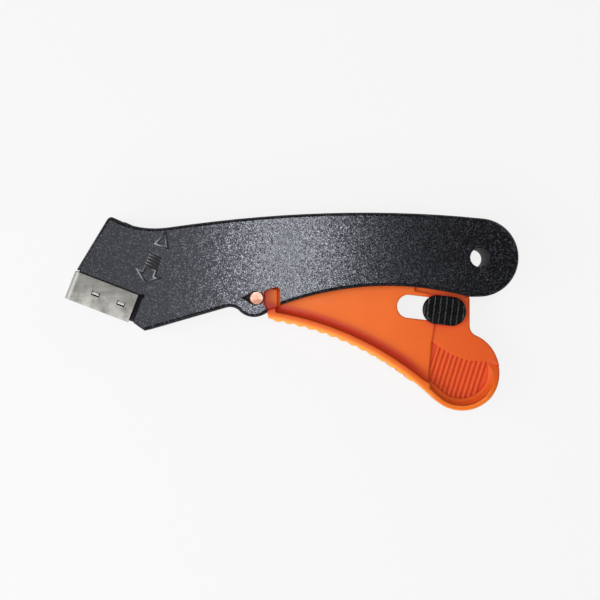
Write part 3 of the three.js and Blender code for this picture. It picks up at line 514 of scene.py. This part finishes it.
def soften(obj, width):
    for polygon in obj.data.polygons:
        polygon.use_smooth = True
    flat = obj.modifiers.new("flat", "DECIMATE")
    flat.decimate_type = "DISSOLVE"
    flat.angle_limit = FLAT_ANGLE
    edge = obj.modifiers.new("edge", "BEVEL")
    edge.width = width * MM
    edge.segments = 2
    edge.limit_method = "ANGLE"
    edge.angle_limit = EDGE_ANGLE
    edge.harden_normals = False
    level = obj.modifiers.new("level", "WEIGHTED_NORMAL")
    level.keep_sharp = True


for name, (material, width) in FINISH.items():
    obj = nodes[name]
    obj.data.materials.clear()
    obj.data.materials.append(material)
    soften(obj, width)


# Meshes made of rings of points

def skin(made, rings, closed=False):
    following = rings[1:] + rings[:1] if closed else rings[1:]
    for one, two in zip(rings, following):
        for k in range(len(one)):
            n = (k + 1) % len(one)
            made.faces.new((one[k], one[n], two[n], two[k]))
    if not closed:
        made.faces.new(rings[0][::-1])
        made.faces.new(rings[-1])


def finish_piece(name, made, material, smooth_ends):
    bmesh.ops.recalc_face_normals(made, faces=made.faces)
    for face in made.faces:
        face.smooth = smooth_ends or len(face.verts) == 4
    mesh = bpy.data.meshes.new(name)
    made.to_mesh(mesh)
    made.free()
    mesh.materials.append(material)
    obj = bpy.data.objects.new(name, mesh)
    bpy.context.scene.collection.objects.link(obj)
    return obj


# Return spring: the coil of the frame, finely wound, in millimetres

def coil(name, axis, top, turns=8, length=18.2, mean=3.1, wire=0.9, end_pitch=1.5, gap=0.2):
    steps, sides, nudge = 44, 12, 0.01
    across = axis.cross(UP)
    foot = top - axis * (length + 2 * gap) * MM
    open_turns = turns - 2
    open_pitch = (length - wire - 2 * end_pitch) / open_turns

    def middle(turn):
        opened = min(max(turn - 1, 0), open_turns)
        rise = gap + wire / 2 + opened * open_pitch + (turn - opened) * end_pitch
        angle = 2 * math.pi * turn
        outwards = across * math.cos(angle) - UP * math.sin(angle)
        return foot + (axis * rise + outwards * mean) * MM, outwards

    made = bmesh.new()
    rings = []
    for i in range(turns * steps + 1):
        turn = i / steps
        centre, outwards = middle(turn)
        ahead = (middle(turn + nudge)[0] - middle(turn - nudge)[0]).normalized()
        side = ahead.cross(outwards).normalized()
        ring = []
        for k in range(sides):
            angle = 2 * math.pi * k / sides
            spoke = outwards * math.cos(angle) + side * math.sin(angle)
            ring.append(made.verts.new(centre + spoke * wire / 2 * MM))
        rings.append(ring)
    skin(made, rings)
    return finish_piece(name, made, spring_steel, smooth_ends=False)


spring_held = joints["lever_squeeze"]["deforming_nodes"][0]
spring_along = Vector(spring_held["axis"]).normalized()
spring_top = Vector(spring_held["fixed_end_m"])
spring = coil("return_spring_coil", spring_along, spring_top)
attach(spring, "handle")
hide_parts("lever_return_spring")
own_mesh(spring)


# Moulded arrow sign on the head, along the blade's slide: (across, up) in millimetres

SMALL_HEAD = [(11.5, 31.4), (16, 31.4), (13.5, 36)]
LARGE_HEAD = [
    (8.9, 19.6), (10.8, 19.6), (10.8, 22.1), (15.2, 22.1), (15.2, 19.6), (17, 19.6), (13, 16.3)
]
BAR_LEFT, BAR_RIGHT = 10.9, 15.1
BAR_FIRST, BAR_PITCH, BAR_COUNT = 23.3, 1.15, 4
# Steps of a bar's round ends: share of half the width beyond the end, share of the full ridge
BAR_ENDS = ((1, 0.15), (0.5, 0.8), (0, 1))


def ridge_ring(made, point, side, width, height, sunk=0.1, steps=6):
    levels = [(-width / 2, -sunk)]
    for i in range(steps + 1):
        angle = math.pi * i / steps
        levels.append((-math.cos(angle) * width / 2, math.sin(angle) * height))
    levels.append((width / 2, -sunk))
    ring = []
    for offset, rise in levels:
        across, up = point + side * offset
        place = SLIDE_FOOT + SLIDE_ACROSS * across * MM + SLIDE_UP * up * MM
        ring.append(made.verts.new((place.x, place.y, TOP + rise * MM)))
    return ring


def ridge_loop(made, outline, width=0.95, height=0.38):
    corners = [Vector(point) for point in outline]
    rings = []
    for i, corner in enumerate(corners):
        back = (corner - corners[i - 1]).normalized()
        ahead = (corners[(i + 1) % len(corners)] - corner).normalized()
        one, two = Vector((-back.y, back.x)), Vector((-ahead.y, ahead.x))
        side = (one + two) / (1 + one.dot(two))
        rings.append(ridge_ring(made, corner, side, width, height))
    skin(made, rings, closed=True)


def ridge_bar(made, start, end, width=0.75, height=0.36):
    a, b = Vector(start), Vector(end)
    along_bar = (b - a).normalized()
    side = Vector((-along_bar.y, along_bar.x))
    beyond = along_bar * width / 2
    places = [(a - beyond * out, share) for out, share in BAR_ENDS]
    places += [(b + beyond * out, share) for out, share in reversed(BAR_ENDS)]
    rings = [
        ridge_ring(made, place, side, width * share, height * share) for place, share in places
    ]
    skin(made, rings)


def arrow_sign():
    made = bmesh.new()
    ridge_loop(made, SMALL_HEAD)
    ridge_loop(made, LARGE_HEAD)
    for i in range(BAR_COUNT):
        up = BAR_FIRST + BAR_PITCH * i
        ridge_bar(made, (BAR_LEFT, up), (BAR_RIGHT, up))
    return finish_piece("arrow_sign", made, sign_plastic, smooth_ends=True)


sign = arrow_sign()
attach(sign, "handle")


# Pale floor: white where the camera, gloss or glass sees it, with a share of its own shading

FLOOR_HALF = 3.0
FLOOR_DROP = 0.05 * MM
FLOOR_WHITE = (0.93, 0.93, 0.93, 1)
FLOOR_WHITE_SHARE = 0.9


def floor_material():
    material, tree, shader = new_material("floor")
    shader.inputs["Base Color"].default_value = (0.9, 0.9, 0.9, 1)
    shader.inputs["Roughness"].default_value = 0.9
    shader.inputs["Specular IOR Level"].default_value = 0.0
    glow = add(tree, "ShaderNodeEmission", Color=FLOOR_WHITE, Strength=1.0)
    seen = add(tree, "ShaderNodeMixShader", Fac=FLOOR_WHITE_SHARE)
    tree.links.new(shader.outputs["BSDF"], seen.inputs[1])
    tree.links.new(glow.outputs["Emission"], seen.inputs[2])
    path = add(tree, "ShaderNodeLightPath").outputs
    direct = path["Is Camera Ray"]
    for ray in ("Is Glossy Ray", "Is Transmission Ray"):
        direct = calculate(tree, "MAXIMUM", direct, path[ray])
    chosen = add(tree, "ShaderNodeMixShader", Fac=direct)
    tree.links.new(shader.outputs["BSDF"], chosen.inputs[1])
    tree.links.new(seen.outputs["Shader"], chosen.inputs[2])
    tree.links.new(chosen.outputs["Shader"], tree.nodes["Material Output"].inputs["Surface"])
    return material


def pale_floor():
    half, low = FLOOR_HALF, LOW - FLOOR_DROP
    corners = [(-half, -half, low), (half, -half, low), (half, half, low), (-half, half, low)]
    mesh = bpy.data.meshes.new("floor")
    mesh.from_pydata(corners, [], [(0, 1, 2, 3)])
    mesh.materials.append(floor_material())
    obj = bpy.data.objects.new("floor", mesh)
    bpy.context.scene.collection.objects.link(obj)


pale_floor()


# Light and camera

def soft_light(name, place, aim, size, power):
    data = bpy.data.lights.new(name, "AREA")
    data.shape = "RECTANGLE"
    data.size, data.size_y = size
    data.energy = power
    obj = bpy.data.objects.new(name, data)
    obj.location = place
    obj.rotation_euler = (Vector(aim) - Vector(place)).to_track_quat("-Z", "Y").to_euler()
    bpy.context.scene.collection.objects.link(obj)


# Strip and panel hang over the part and mirror in the shells' grain
soft_light("strip", place=(-0.009, 0.02, 0.66), aim=(-0.009, 0.02, 0), size=(0.04, 0.42), power=1.52)
soft_light("panel", place=(-0.165, 0.02, 0.62), aim=(-0.165, 0.02, 0), size=(0.21, 0.36), power=0.38)
soft_light("key", place=(-0.5, -0.06, 0.37), aim=(0, 0, 0), size=(0.45, 0.6), power=2.7)
soft_light("front", place=(-0.12, -0.46, 0.36), aim=(0.03, -0.02, 0), size=(0.5, 0.2), power=1.35)
soft_light("fill", place=(0.62, 0.46, 0.46), aim=(0, 0, 0), size=(0.5, 0.5), power=0.7)

SKY_STRENGTH = 0.12
SENSOR_WIDTH = 36
LENS = 58.9
CAMERA_SHIFT = (0.01618, -0.00071)
CAMERA_HEIGHT = 0.3667

scene = bpy.context.scene
scene.world = bpy.data.worlds.new("studio")
scene.world.use_nodes = True
sky = scene.world.node_tree.nodes["Background"]
sky.inputs["Color"].default_value = (1, 1, 1, 1)
sky.inputs["Strength"].default_value = SKY_STRENGTH

# Straight above the part, as in the photo
camera_data = bpy.data.cameras.new("camera")
camera_data.sensor_width = SENSOR_WIDTH
camera_data.lens = LENS
camera = bpy.data.objects.new("camera", camera_data)
camera.location = (PIVOT.x + CAMERA_SHIFT[0], PIVOT.y + CAMERA_SHIFT[1], TOP + CAMERA_HEIGHT)
scene.collection.objects.link(camera)
scene.camera = camera
scene.view_settings.view_transform = "Standard"
